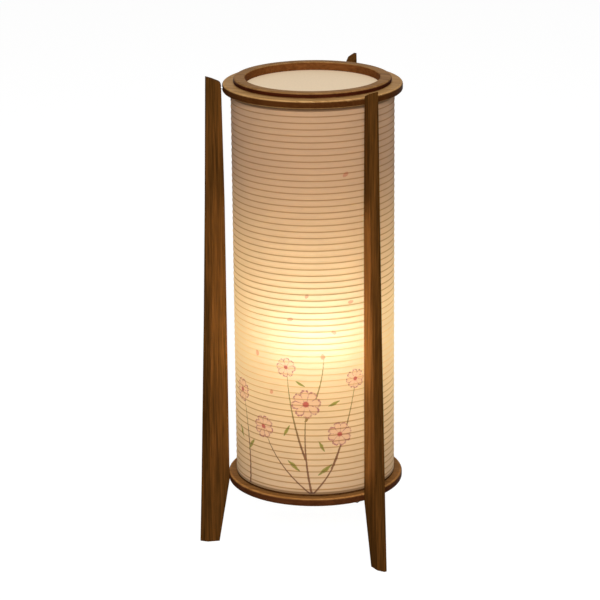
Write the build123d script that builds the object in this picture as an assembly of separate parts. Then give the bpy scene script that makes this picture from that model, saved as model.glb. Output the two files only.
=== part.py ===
from build123d import *
import math
import os

# Andon floor lamp, in millimetres. The origin is on the lamp's axis at floor level, +Z is up
# and -Y is the front: one leg stands at the back and two at the front.

# ---------------------------------------------------------------- driving dimensions
# legs: one hexagonal stick each, kinked outwards under the bottom ring
LEG_NAMES = ("leg_back", "leg_front_left", "leg_front_right")
leg_rise = 10.0                # from the top ring's upper face to the highest corner of a leg
leg_waist_level = 300.0
leg_waist_width = 28.4         # radial width at the waist
leg_foot_width = 24.4          # radial width at the floor
leg_outer_splay = 10.1         # the outer edge stands this far further out at the floor than at the waist
leg_outer_taper = 7.6          # and this far further in at the top
leg_ridge_setback = 9.3        # from the outer edge to the thickest line of the section
leg_inner_thickness = 9.2
leg_ridge_thickness = 12.0
leg_outer_thickness = 3.6
leg_lean_level = 450.0         # above this the inner edge leans away from the shade
leg_top_gap = 1.4              # air between the top ring's edge and the leg
leg_top_slant = 22.0           # degrees
leg_top_corner_radius = 5.0
leg_seat_depth = 0.3           # flat cut in the bottom ring's edge for the leg
leg_edge_ease = 0.8            # rounding of the leg's long edges

# rings: turned boards, the same stock at top and bottom
ring_radius = 110.0
ring_board = 10.0
ring_width = 22.0              # from the outer edge to the opening
ring_edge_round = 3.0
ring_opening_ease = 0.8
bottom_ring_underside = 82.5

# shade
shade_height = 491.5
shade_setback = 10.0           # from the rings' outer edge to the paper
paper_thickness = 0.4
paper_lift = 2.6               # the paper ends this far above the bottom ring
glue_gap = 0.05
rim_height = 5.0
rim_width = 5.0
hoop_strip = 1.4               # the planed strip is square in section
hoop_pitch = 7.86
hoop_top_margin = 11.2         # from the top ring's underside to the first hoop's centre

# leg screws, driven outwards from the rings' openings
leg_screw_diameter = 3.0
leg_screw_length = 32.0
leg_screw_head_diameter = 6.0
leg_screw_head_depth = 1.6
leg_screw_sinking = 0.6
leg_screw_tip_length = 3.0
screw_play = 0.05

# lid
lid_rest = 8.4                 # width of the lid's rest on the top ring
lid_spigot_wall = 5.2
lid_rise = 6.6
lid_edge_round = 3.0
lid_foot_round = 2.0           # where the lid's edge meets the top ring
lid_inner_round = 1.8
lid_spigot_depth = 8.0
lid_play = 0.5
lid_disc_sinking = 10.2        # from the lid's top to the disc's face
lid_disc_thickness = 1.6
lid_disc_play = 0.3
lid_rabbet_depth = 2.7
lid_brad_count = 6
lid_brad_diameter = 1.2
lid_brad_head_diameter = 2.4
lid_brad_head_thickness = 0.4
lid_brad_length = 4.0

# crossbar
crossbar_width = 24.0
crossbar_lap_length = 11.6
crossbar_lap_play = 0.3
crossbar_ease = 1.0
crossbar_screw_diameter = 3.0
crossbar_screw_head_diameter = 6.0
crossbar_screw_head_depth = 1.6
crossbar_screw_length = 8.0

# stem, an M10 threaded tube with its fastenings
stem_diameter = 10.0
stem_bore_diameter = 8.0
stem_hole_play = 0.25
stem_nut_flats = 14.0
stem_nut_height = 5.0
stem_washer_diameter = 20.0
stem_washer_thickness = 1.5
stem_thread_stand_out = 2.0    # stem left standing below the lower nut
stem_nut_play = 0.05
bushing_bore_diameter = 6.5
bushing_collar_diameter = 12.0
bushing_collar_thickness = 1.5
bushing_sleeve_length = 7.5
bushing_play = 0.05

# bulb, with an E26 screw cap
bulb_centre_level = 272.0
bulb_globe_diameter = 60.0
bulb_length = 108.0
bulb_wall = 1.5
bulb_joint_below_centre = 12.0 # the seam of globe and housing lies this far below the globe's centre
bulb_neck_diameter = 29.0
bulb_cap_length = 26.0         # from the contact's tip to the cap's upper rim
bulb_thread_diameter = 26.3
bulb_thread_pitch = 3.629
bulb_thread_ridges = 4
bulb_thread_depth = 0.75
bulb_cap_wall = 0.5
bulb_insulator_length = 5.0
bulb_contact_diameter = 9.0
bulb_contact_thickness = 1.0
bulb_contact_pin_diameter = 3.0
bulb_contact_pin_play = 0.1
bulb_neck_insert = 8.0         # housing held inside the screw cap
bulb_housing_wall = 1.6
led_plate_thickness = 1.6
led_plate_below_seam = 4.0
led_plate_play = 0.15
led_count = 8
led_circle_radius = 15.0
led_length = 3.5
led_width = 2.8
led_height = 0.7
driver_board_width = 16.0
driver_board_height = 24.0
driver_board_thickness = 1.6

# lampholder
screw_shell_play = 0.05
screw_shell_wall = 0.5
screw_shell_length = 26.5
screw_shell_floor_opening = 16.0
holder_diameter = 39.0
holder_wall = 2.5
holder_length = 47.5
holder_cap_spigot = 8.0
holder_cap_height = 20.0
holder_collar_diameter = 18.0
holder_collar_height = 8.0
holder_thread_play = 0.05
insert_height = 11.0
insert_play = 0.6
contact_spring_width = 5.0
contact_spring_thickness = 0.5
contact_spring_reach = 6.0
contact_pad_length = 4.0
contact_rivet_diameter = 3.0
terminal_screw_spacing = 18.0
terminal_screw_diameter = 3.0
terminal_screw_head_diameter = 5.6
terminal_screw_head_height = 2.2
terminal_screw_depth = 6.0
grub_screw_diameter = 3.0

# ---------------------------------------------------------------- levels and radii that follow
ring_opening_radius = ring_radius - ring_width
shade_radius = ring_radius - shade_setback
bottom_ring_top = bottom_ring_underside + ring_board
top_ring_underside = bottom_ring_top + shade_height
top_ring_top = top_ring_underside + ring_board
lid_top = top_ring_top + lid_rise
lid_underside = top_ring_top - lid_spigot_depth
disc_top = lid_top - lid_disc_sinking
disc_underside = disc_top - lid_disc_thickness
lid_radius = ring_opening_radius + lid_rest
lid_spigot_radius = ring_opening_radius - lid_play
lid_opening_radius = lid_spigot_radius - lid_spigot_wall
lid_rabbet_radius = lid_opening_radius + lid_rabbet_depth
rim_radius = shade_radius - paper_thickness - glue_gap
first_hoop_level = top_ring_underside - hoop_top_margin
hoop_span = first_hoop_level - bottom_ring_top - rim_height - hoop_strip
hoop_count = int(hoop_span / hoop_pitch) + 1
leg_top = top_ring_top + leg_rise
leg_inner_radius = ring_radius - leg_seat_depth
leg_inner_radius_top = ring_radius + leg_top_gap
leg_outer_radius_waist = leg_inner_radius + leg_waist_width
leg_outer_radius_floor = leg_outer_radius_waist + leg_outer_splay
leg_outer_radius_top = leg_outer_radius_waist - leg_outer_taper
leg_kink_level = bottom_ring_underside
top_screw_level = top_ring_underside + ring_board / 2
bottom_screw_level = bottom_ring_underside + ring_board / 2

bulb_tip_level = bulb_centre_level + bulb_globe_diameter / 2 - bulb_length
bulb_cap_rim_level = bulb_tip_level + bulb_cap_length
bulb_seam_level = bulb_centre_level - bulb_joint_below_centre
bulb_seam_radius = math.sqrt((bulb_globe_diameter / 2) ** 2 - bulb_joint_below_centre ** 2)
screw_shell_radius = bulb_thread_diameter / 2 + screw_shell_play
holder_radius = holder_diameter / 2
holder_inner_radius = holder_radius - holder_wall
holder_top = bulb_cap_rim_level - 0.5
holder_shell_foot = holder_top - holder_length
insert_underside = holder_shell_foot + holder_cap_spigot
insert_top = insert_underside + insert_height
holder_foot = holder_shell_foot - holder_cap_height
crossbar_screw_place = ring_opening_radius + crossbar_lap_length / 2
stem_top = holder_foot + holder_collar_height + 2.0
stem_foot = bottom_ring_underside - stem_washer_thickness - stem_nut_height - stem_thread_stand_out


# ---------------------------------------------------------------- small builders
def ring(outer, inner, low, high):
    """A plain ring between two levels."""
    height = high - low
    tube = Cylinder(outer, height) - Cylinder(inner, height + 2)
    return Pos(0, 0, low + height / 2) * tube


def rod(radius, low, high):
    """A plain upright cylinder between two levels."""
    return Pos(0, 0, (low + high) / 2) * Cylinder(radius, high - low)


def turned(*outline):
    """The solid of revolution about Z of a closed outline of (radius, level) points."""
    points = [(radius, 0, level) for radius, level in outline]
    return revolve(make_face(Polyline(*points, close=True)), Axis.Z)


def circle_edges(shape, radius, level):
    """The round edges of a turned shape at one radius and level."""
    def lies_there(edge):
        middle = edge.position_at(0.5)
        return abs(math.hypot(middle.X, middle.Y) - radius) < 0.01 and abs(middle.Z - level) < 0.01
    return [edge for edge in shape.edges() if lies_there(edge)]


def outwards(shape, azimuth):
    """Turns a shape made along +X to an azimuth about the lamp's axis."""
    return Rot(0, 0, azimuth) * shape


def lying_rod(radius, start, end, level):
    """A rod along +X between two distances from the axis."""
    rod_along_x = Rot(0, 90, 0) * Cylinder(radius, end - start)
    return Pos((start + end) / 2, 0, level) * rod_along_x


def write(name, *shapes):
    """Writes one node's solids to its STEP file."""
    solids = [solid for shape in shapes for solid in shape.solids()]
    whole = solids[0] if len(solids) == 1 else Compound(children=solids)
    export_step(whole, f"parts/{name}.step")


# ---------------------------------------------------------------- legs
def leg_azimuth(index):
    """The azimuth of one leg, in degrees from +X; the first stands at the back."""
    return 90.0 + index * 360.0 / len(LEG_NAMES)


def leg_outer_radius(level):
    """The outer edge is an arc through the floor, the waist and the top, given as a parabola."""
    low, mid, high = 0.0, leg_waist_level, leg_top
    at_low = leg_outer_radius_floor * (level - mid) * (level - high) / ((low - mid) * (low - high))
    at_mid = leg_outer_radius_waist * (level - low) * (level - high) / ((mid - low) * (mid - high))
    at_high = leg_outer_radius_top * (level - low) * (level - mid) / ((high - low) * (high - mid))
    return at_low + at_mid + at_high


def leg_inner_edge(level):
    """The inner edge: splayed under the kink, upright, then leaning out above leg_lean_level."""
    if level < leg_kink_level:
        foot_radius = leg_outer_radius_floor - leg_foot_width
        return foot_radius + (leg_inner_radius - foot_radius) * level / leg_kink_level
    if level <= leg_lean_level:
        return leg_inner_radius
    lean = (leg_inner_radius_top - leg_inner_radius) / (top_screw_level - leg_lean_level)
    return leg_inner_radius + lean * (level - leg_lean_level)


def leg_section(level):
    """The hexagonal section of a leg at one level, on the +X side."""
    inner = leg_inner_edge(level)
    outer = leg_outer_radius(level)
    ridge = outer - leg_ridge_setback
    half = [(inner, leg_inner_thickness / 2),
            (ridge, leg_ridge_thickness / 2),
            (outer, leg_outer_thickness / 2)]
    points = [(x, y, level) for x, y in half] + [(x, -y, level) for x, y in reversed(half)]
    return make_face(Polyline(*points, close=True))


def leg_blank():
    """The stick before its top is cut: two lofts that meet at the kink."""
    foot = loft([leg_section(0.0), leg_section(leg_kink_level)], ruled=True)
    lower = loft([leg_section(leg_kink_level), leg_section(leg_waist_level), leg_section(leg_lean_level)],
                 ruled=True)
    blank_top = leg_top + leg_top_corner_radius
    upper = loft([leg_section(leg_lean_level), leg_section(blank_top)], ruled=True)
    return foot + lower + upper


def leg_top_waste():
    """What the slanted cut and the rounded inner corner take off the top."""
    reach = 5 * leg_ridge_thickness
    slope = math.tan(math.radians(leg_top_slant))
    inner = leg_inner_edge(leg_top)
    inner_level = leg_top - (leg_outer_radius_top - inner) * slope
    lean_in = leg_inner_edge(leg_top - reach)
    keep = Polyline((leg_outer_radius_top + reach, 0, leg_top - reach),
                    (leg_outer_radius_top + reach, 0, leg_top + reach * slope),
                    (inner, 0, inner_level),
                    (lean_in, 0, leg_top - reach), close=True)
    kept = extrude(make_face(keep), leg_ridge_thickness, both=True)
    corner = [edge for edge in kept.edges().filter_by(Axis.Y) if abs(edge.center().Z - inner_level) < 0.01]
    kept = fillet(corner, leg_top_corner_radius)
    block = Pos(inner, 0, leg_top) * Box(2 * reach, 2 * leg_ridge_thickness, 2 * reach)
    return block - kept


def leg():
    """One leg on the +X side, with the pilot holes of its two screws."""
    shape = leg_blank() - leg_top_waste()
    long_edges = [edge for edge in shape.edges()
                  if edge.length > leg_foot_width and abs(edge.tangent_at(0.5).Z) > 0.9]
    shape = fillet(long_edges, leg_edge_ease)
    hole = leg_screw_diameter / 2 + screw_play
    tip = ring_opening_radius + leg_screw_sinking + leg_screw_length
    for level in (top_screw_level, bottom_screw_level):
        shape -= lying_rod(hole, ring_opening_radius, tip, level)
    return shape


# ---------------------------------------------------------------- rings and screws
def leg_screw(level):
    """A countersunk wood screw lying along +X, its head let into the ring's opening."""
    start = ring_opening_radius + leg_screw_sinking
    end = start + leg_screw_length
    shank_radius = leg_screw_diameter / 2
    neck = start + leg_screw_head_depth
    shank_end = end - leg_screw_tip_length
    head = Pos((start + neck) / 2, 0, level) * (
        Rot(0, 90, 0) * Cone(leg_screw_head_diameter / 2, shank_radius, leg_screw_head_depth))
    tip = Pos((shank_end + end) / 2, 0, level) * (
        Rot(0, 90, 0) * Cone(shank_radius, shank_radius / 4, leg_screw_tip_length))
    slot = Pos(start, 0, level) * Box(0.8, leg_screw_head_diameter - 1.6, 0.9)
    return head + lying_rod(shank_radius, neck, shank_end, level) + tip - slot


def leg_screw_hole(level):
    """The screw's clearance hole through a ring, with its countersink."""
    start = ring_opening_radius + leg_screw_sinking
    head_radius = leg_screw_head_diameter / 2 + screw_play
    shank_radius = leg_screw_diameter / 2 + screw_play
    mouth = lying_rod(head_radius, ring_opening_radius - 2, start, level)
    sink = Pos(start + leg_screw_head_depth / 2, 0, level) * (
        Rot(0, 90, 0) * Cone(head_radius, shank_radius, leg_screw_head_depth))
    return mouth + sink + lying_rod(shank_radius, start, ring_radius + 2, level)


def ring_board_shape(underside):
    """A turned board: rounded outer edge, eased opening and the holes of the leg screws."""
    top = underside + ring_board
    board = ring(ring_radius, ring_opening_radius, underside, top)
    rounded = circle_edges(board, ring_radius, top) + circle_edges(board, ring_radius, underside)
    board = fillet(rounded, min(ring_edge_round, ring_board * 0.45))
    board = chamfer(circle_edges(board, ring_opening_radius, underside), ring_opening_ease)
    for index in range(len(LEG_NAMES)):
        board -= outwards(leg_screw_hole(underside + ring_board / 2), leg_azimuth(index))
    return board


def crossbar_notch(side):
    """The half-lap notch in the underside of the bottom ring."""
    end = ring_opening_radius + crossbar_lap_length + crossbar_lap_play
    start = ring_opening_radius - crossbar_lap_length
    height = ring_board / 2
    notch = Box(end - start, crossbar_width + 2 * crossbar_lap_play, height * 2)
    return Pos(side * (start + end) / 2, 0, bottom_ring_underside) * notch


def crossbar_screw_hole(radius, low, high):
    """A pair of upright holes at the crossbar's screws."""
    return Pos(crossbar_screw_place, 0, 0) * rod(radius, low, high) \
        + Pos(-crossbar_screw_place, 0, 0) * rod(radius, low, high)


def top_ring():
    """The board at the top of the shade, which carries the lid."""
    return ring_board_shape(top_ring_underside)


def bottom_ring():
    """The board under the shade: seats for the legs and notches for the crossbar."""
    board = ring_board_shape(bottom_ring_underside)
    seat_width = 2.5 * math.sqrt(ring_radius ** 2 - leg_inner_radius ** 2)
    seat = Box(leg_foot_width, seat_width, 2 * ring_board)
    seat = Pos(leg_inner_radius + leg_foot_width / 2, 0, bottom_screw_level) * seat
    for index in range(len(LEG_NAMES)):
        board -= outwards(seat, leg_azimuth(index))
    for side in (-1, 1):
        board -= crossbar_notch(side)
    tip = bottom_ring_underside + crossbar_screw_length
    board -= crossbar_screw_hole(crossbar_screw_diameter / 2 + screw_play, bottom_ring_underside, tip)
    return board


# ---------------------------------------------------------------- shade
def shade_paper():
    """The paper tube between the two rings, which leaves the foot of the lower rim bare."""
    inner = shade_radius - paper_thickness
    return ring(shade_radius, inner, bottom_ring_top + paper_lift, top_ring_underside)


def shade_rim(low):
    """A bent wood hoop that the paper is glued to."""
    return ring(rim_radius, rim_radius - rim_width, low, low + rim_height)


def shade_hoops():
    """The thin hoops behind the paper, each a square bamboo strip bent round."""
    hoop = ring(rim_radius, rim_radius - hoop_strip, -hoop_strip / 2, hoop_strip / 2)
    return [Pos(0, 0, first_hoop_level - index * hoop_pitch) * hoop for index in range(hoop_count)]


# ---------------------------------------------------------------- lid
def lid_brad_place(index):
    """The azimuth of one brad."""
    return (index + 0.5) * 360.0 / lid_brad_count


def lid_brad():
    """A brad through the disc hoop into the lid's spigot, along +X."""
    level = (lid_underside + disc_underside) / 2
    start = lid_opening_radius - glue_gap
    shank = lying_rod(lid_brad_diameter / 2, start, start + lid_brad_length, level)
    head = lying_rod(lid_brad_head_diameter / 2, start - lid_brad_head_thickness, start, level)
    return shank + head


def lid_brad_holes():
    """The holes of all brads, in the hoop and in the spigot."""
    level = (lid_underside + disc_underside) / 2
    hole = lying_rod(lid_brad_diameter / 2 + screw_play, lid_opening_radius - 2,
                     lid_opening_radius + lid_brad_length, level)
    return [outwards(hole, lid_brad_place(index)) for index in range(lid_brad_count)]


def lid_ring():
    """The lid's turned ring: it lies on the top ring and its spigot drops into the opening."""
    body = turned((lid_opening_radius, disc_top), (lid_opening_radius, lid_top), (lid_radius, lid_top),
                  (lid_radius, top_ring_top), (lid_spigot_radius, top_ring_top),
                  (lid_spigot_radius, lid_underside), (lid_rabbet_radius, lid_underside),
                  (lid_rabbet_radius, disc_top))
    body = fillet(circle_edges(body, lid_radius, lid_top), lid_edge_round)
    body = fillet(circle_edges(body, lid_radius, top_ring_top), lid_foot_round)
    body = fillet(circle_edges(body, lid_opening_radius, lid_top), lid_inner_round)
    for hole in lid_brad_holes():
        body -= hole
    return body


def lid_disc():
    """The pale disc that closes the lid and lets the light up."""
    return rod(lid_rabbet_radius - lid_disc_play, disc_underside, disc_top)


def lid_disc_hoop():
    """The thin hoop that keeps the disc up in its rabbet."""
    hoop = ring(lid_rabbet_radius - glue_gap, lid_opening_radius, lid_underside, disc_underside)
    for hole in lid_brad_holes():
        hoop -= hole
    return hoop


# ---------------------------------------------------------------- crossbar and stem
def crossbar():
    """The bar across the bottom ring, half-lapped into the ring at both ends."""
    half_length = ring_opening_radius + crossbar_lap_length
    bar = Pos(0, 0, bottom_ring_underside + ring_board / 2) * Box(2 * half_length, crossbar_width, ring_board)
    lap_start = ring_opening_radius - crossbar_lap_play
    bar -= ring(2 * half_length, lap_start, bottom_screw_level, bottom_ring_top + 1)
    long_edges = [edge for edge in bar.edges().filter_by(Axis.X) if edge.length > ring_opening_radius]
    bar = chamfer(long_edges, crossbar_ease)
    bar -= rod(stem_diameter / 2 + stem_hole_play, bottom_ring_underside - 1, bottom_ring_top + 1)
    shank_radius = crossbar_screw_diameter / 2 + screw_play
    head_radius = crossbar_screw_head_diameter / 2 + screw_play
    hole = rod(shank_radius, bottom_ring_underside - 1, bottom_ring_top)
    sink = Cone(head_radius, shank_radius, crossbar_screw_head_depth)
    hole += Pos(0, 0, bottom_ring_underside + crossbar_screw_head_depth / 2) * sink
    for side in (-1, 1):
        bar -= Pos(side * crossbar_screw_place, 0, 0) * hole
    return bar


def crossbar_screw(side):
    """A short countersunk screw, driven up through the bar's lap into the ring."""
    head = Cone(crossbar_screw_head_diameter / 2, crossbar_screw_diameter / 2, crossbar_screw_head_depth)
    head = Pos(0, 0, bottom_ring_underside + crossbar_screw_head_depth / 2) * head
    shank = rod(crossbar_screw_diameter / 2, bottom_ring_underside + crossbar_screw_head_depth,
                bottom_ring_underside + crossbar_screw_length)
    slot = Pos(0, 0, bottom_ring_underside) * Box(crossbar_screw_head_diameter - 1.6, 0.8, 0.9)
    return Pos(side * crossbar_screw_place, 0, 0) * (head + shank - slot)


def stem_tube():
    """The threaded tube that stands the lampholder at its height and leads the wires."""
    return ring(stem_diameter / 2, stem_bore_diameter / 2, stem_foot, stem_top)


def stem_nut(low):
    """A thin hexagon nut."""
    corner_radius = stem_nut_flats / math.sqrt(3)
    blank = Pos(0, 0, low) * extrude(RegularPolygon(corner_radius, 6), stem_nut_height)
    top = low + stem_nut_height
    bevel_foot = top - (corner_radius - stem_nut_flats / 2)
    limit = turned((0, low - 1), (corner_radius + 1, low - 1), (corner_radius + 1, bevel_foot),
                   (stem_nut_flats / 2, top), (0, top))
    return (blank & limit) - rod(stem_diameter / 2 + stem_nut_play, low - 1, top + 1)


def stem_washer(low):
    """A plain washer."""
    hole_radius = stem_diameter / 2 + stem_hole_play
    return ring(stem_washer_diameter / 2, hole_radius, low, low + stem_washer_thickness)


def cord_bushing():
    """The plastic bushing in the stem's lower end, where a cord enters."""
    bore = bushing_bore_diameter / 2
    sleeve = stem_bore_diameter / 2 - bushing_play
    collar = bushing_collar_diameter / 2
    low = stem_foot - bushing_collar_thickness
    top = stem_foot + bushing_sleeve_length
    body = turned((bore, low), (collar, low), (collar, stem_foot), (sleeve, stem_foot),
                  (sleeve, top), (bore, top))
    rim = circle_edges(body, collar, low)
    return chamfer(rim, bushing_collar_thickness / 3)


# ---------------------------------------------------------------- lampholder
def holder_cap():
    """The domed lower cover: a collar for the stem, a bell, and the spigot that holds the shell."""
    collar = holder_collar_diameter / 2
    spigot = holder_inner_radius - holder_thread_play
    collar_top = holder_foot + holder_collar_height
    bell_top = holder_shell_foot - holder_cap_height * 0.3
    bell = turned((0, holder_foot), (collar, holder_foot),
                  (collar, holder_foot + holder_collar_height / 2),
                  (holder_radius, bell_top), (holder_radius, holder_shell_foot),
                  (spigot, holder_shell_foot), (spigot, insert_underside), (0, insert_underside))
    hollow = turned((0, collar_top), (collar - holder_wall, collar_top),
                    (spigot - holder_wall, bell_top),
                    (spigot - holder_wall, insert_underside + 1), (0, insert_underside + 1))
    shape = bell - hollow - rod(stem_diameter / 2 + holder_thread_play, holder_foot - 1, insert_underside)
    level = holder_foot + holder_collar_height / 4
    return shape - lying_rod(grub_screw_diameter / 2 + screw_play, 0, holder_radius, level)


def holder_grub_screw():
    """The small screw that locks the cap on the stem."""
    level = holder_foot + holder_collar_height / 4
    inner = stem_diameter / 2 + holder_thread_play
    outer = holder_collar_diameter / 2
    slot = Pos(outer, 0, level) * Box(1.0, 2.0, 0.6)
    return lying_rod(grub_screw_diameter / 2, inner, outer, level) - slot


def holder_shell():
    """The insulating outer tube round the screw shell."""
    tube = ring(holder_radius, holder_inner_radius, holder_shell_foot, holder_top)
    return fillet(circle_edges(tube, holder_radius, holder_top), holder_wall * 0.4)


def holder_insert():
    """The porcelain insert that carries the contacts."""
    body = rod(holder_inner_radius - insert_play, insert_underside, insert_top)
    body -= rod(contact_rivet_diameter / 2 + screw_play, insert_underside - 1, insert_top + 1)
    hole_radius = terminal_screw_diameter / 2 + screw_play
    hole = rod(hole_radius, insert_underside, insert_underside + terminal_screw_depth)
    for side in (-1, 1):
        body -= Pos(side * terminal_screw_spacing / 2, 0, 0) * hole
    return body


def holder_screw_shell():
    """The brass sleeve that the bulb's cap screws into."""
    outer = screw_shell_radius + screw_shell_wall
    opening = screw_shell_floor_opening / 2
    rim = insert_top + screw_shell_length
    floor_top = insert_top + screw_shell_wall
    return turned((opening, insert_top), (outer, insert_top), (outer, rim), (screw_shell_radius, rim),
                  (screw_shell_radius, floor_top), (opening, floor_top))


def holder_centre_contact():
    """The spring strip under the bulb's tip, riveted through the insert."""
    thickness = contact_spring_thickness
    pad_start = contact_pad_length / 2
    foot_end = contact_spring_reach
    pad_underside = bulb_tip_level - thickness
    outline = Polyline((-foot_end, 0, insert_top), (contact_rivet_diameter, 0, insert_top),
                       (contact_rivet_diameter, 0, insert_top + thickness),
                       (-foot_end + 2 * thickness, 0, insert_top + thickness),
                       (-pad_start, 0, pad_underside), (pad_start, 0, pad_underside),
                       (pad_start, 0, bulb_tip_level), (-pad_start, 0, bulb_tip_level),
                       (-foot_end, 0, insert_top + 2 * thickness), close=True)
    strip = extrude(make_face(outline), contact_spring_width / 2, both=True)
    return strip + rod(contact_rivet_diameter / 2, insert_underside, insert_top + thickness)


def holder_terminal_screw(side):
    """A cheese-head screw in the insert's underside, where a wire is clamped."""
    head_low = insert_underside - terminal_screw_head_height
    head = rod(terminal_screw_head_diameter / 2, head_low, insert_underside)
    shank = rod(terminal_screw_diameter / 2, insert_underside, insert_underside + terminal_screw_depth)
    slot = Pos(0, 0, head_low) * Box(terminal_screw_head_diameter + 1, 0.8, 1.6)
    return Pos(side * terminal_screw_spacing / 2, 0, 0) * (head + shank - slot)


# ---------------------------------------------------------------- bulb
def bulb_cap():
    """The screw cap: a sleeve with round thread ridges and a plain upper skirt."""
    crest = bulb_thread_diameter / 2
    root = crest - bulb_thread_depth
    low = bulb_tip_level + bulb_contact_thickness + bulb_insulator_length
    body = ring(root, root - bulb_cap_wall, low, bulb_cap_rim_level)
    for index in range(bulb_thread_ridges):
        level = low + bulb_thread_pitch * (index + 0.8)
        body += Pos(0, 0, level) * Torus(root, bulb_thread_depth)
    body -= rod(root - bulb_cap_wall, low - 1, bulb_cap_rim_level + 1)
    return body


def bulb_insulator():
    """The glass insulator between the screw cap and the contact at its tip."""
    low = bulb_tip_level + bulb_contact_thickness
    top = low + bulb_insulator_length
    top_radius = bulb_thread_diameter / 2 - bulb_thread_depth
    hole = bulb_contact_pin_diameter / 2 + bulb_contact_pin_play
    return turned((hole, low), (bulb_contact_diameter / 2, low), (top_radius, top), (hole, top))


def bulb_eyelet():
    """The contact at the tip, with its lead pin."""
    radius = bulb_contact_diameter / 2
    plate_top = bulb_tip_level + bulb_contact_thickness
    plate = rod(radius, bulb_tip_level, plate_top)
    plate = chamfer(circle_edges(plate, radius, bulb_tip_level), bulb_contact_thickness / 2)
    return plate + rod(bulb_contact_pin_diameter / 2, plate_top, plate_top + bulb_insulator_length)


def bulb_housing():
    """The plastic housing: a flared cup whose neck sits in the screw cap."""
    neck = bulb_thread_diameter / 2 - bulb_thread_depth - bulb_cap_wall - glue_gap
    wall = bulb_housing_wall
    shoulder = bulb_neck_diameter / 2
    mid_level = (bulb_cap_rim_level + bulb_seam_level) / 2
    mid_radius = (shoulder + bulb_seam_radius) / 2 + 2.0
    plate_level = bulb_seam_level - led_plate_below_seam - led_plate_thickness
    rim = bulb_seam_radius
    neck_foot = bulb_cap_rim_level - bulb_neck_insert
    return turned((neck - wall, neck_foot), (neck, neck_foot),
                  (neck, bulb_cap_rim_level), (shoulder, bulb_cap_rim_level), (mid_radius, mid_level),
                  (rim, plate_level), (rim, bulb_seam_level), (rim - wall, bulb_seam_level),
                  (rim - wall, plate_level), (rim - 2 * wall, plate_level),
                  (rim - 2 * wall, plate_level - wall), (mid_radius - wall, mid_level - wall),
                  (neck - wall, bulb_cap_rim_level + wall))


def led_plate():
    """The aluminium plate of the lights, on a ledge in the housing."""
    low = bulb_seam_level - led_plate_below_seam - led_plate_thickness
    return rod(bulb_seam_radius - bulb_housing_wall - led_plate_play, low, low + led_plate_thickness)


def led(index):
    """One light-emitting chip."""
    low = bulb_seam_level - led_plate_below_seam
    chip = Pos(led_circle_radius, 0, low + led_height / 2) * Box(led_length, led_width, led_height)
    return outwards(chip, index * 360.0 / led_count)


def driver_board():
    """The driver's circuit board, upright under the plate."""
    top = bulb_seam_level - led_plate_below_seam - led_plate_thickness
    place = Pos(0, 0, top - driver_board_height / 2)
    return place * Box(driver_board_width, driver_board_thickness, driver_board_height)


def bulb_globe():
    """The opal globe, a thin sphere open at its seam with the housing."""
    outer = bulb_globe_diameter / 2
    shell = Sphere(outer) - Sphere(outer - bulb_wall)
    shell = Pos(0, 0, bulb_centre_level) * shell
    return shell - rod(2 * outer, bulb_seam_level - 2 * outer, bulb_seam_level)


# ---------------------------------------------------------------- write the sub-parts
os.makedirs("parts", exist_ok=True)

for index, leg_name in enumerate(LEG_NAMES):
    write(leg_name, outwards(leg(), leg_azimuth(index)))
write("leg_screws", *[outwards(leg_screw(level), leg_azimuth(index))
                      for index in range(len(LEG_NAMES))
                      for level in (bottom_screw_level, top_screw_level)])
write("top_ring", top_ring())
write("bottom_ring", bottom_ring())
write("shade_paper", shade_paper())
write("shade_hoops", *shade_hoops())
write("shade_rim_upper", shade_rim(top_ring_underside - rim_height))
write("shade_rim_lower", shade_rim(bottom_ring_top))

write("lid_ring", lid_ring())
write("lid_disc", lid_disc())
write("lid_disc_hoop", lid_disc_hoop())
write("lid_brads", *[outwards(lid_brad(), lid_brad_place(index)) for index in range(lid_brad_count)])

write("crossbar", crossbar())
write("crossbar_screws", crossbar_screw(-1), crossbar_screw(1))
write("stem_tube", stem_tube())
upper_washer = bottom_ring_top
lower_washer = bottom_ring_underside - stem_washer_thickness
write("stem_washers", stem_washer(upper_washer), stem_washer(lower_washer))
write("stem_nuts", stem_nut(upper_washer + stem_washer_thickness), stem_nut(lower_washer - stem_nut_height))
write("cord_bushing", cord_bushing())

write("holder_cap", holder_cap())
write("holder_grub_screw", holder_grub_screw())
write("holder_shell", holder_shell())
write("holder_insert", holder_insert())
write("holder_screw_shell", holder_screw_shell())
write("holder_centre_contact", holder_centre_contact())
write("holder_terminal_screws", holder_terminal_screw(-1), holder_terminal_screw(1))

write("bulb_cap", bulb_cap())
write("bulb_insulator", bulb_insulator())
write("bulb_eyelet", bulb_eyelet())
write("bulb_housing", bulb_housing())
write("bulb_led_plate", led_plate())
write("bulb_leds", *[led(index) for index in range(led_count)])
write("bulb_driver_board", driver_board())
write("bulb_globe", bulb_globe())
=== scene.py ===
import math

import bpy
import numpy as np
from mathutils import Matrix, Vector


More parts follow.
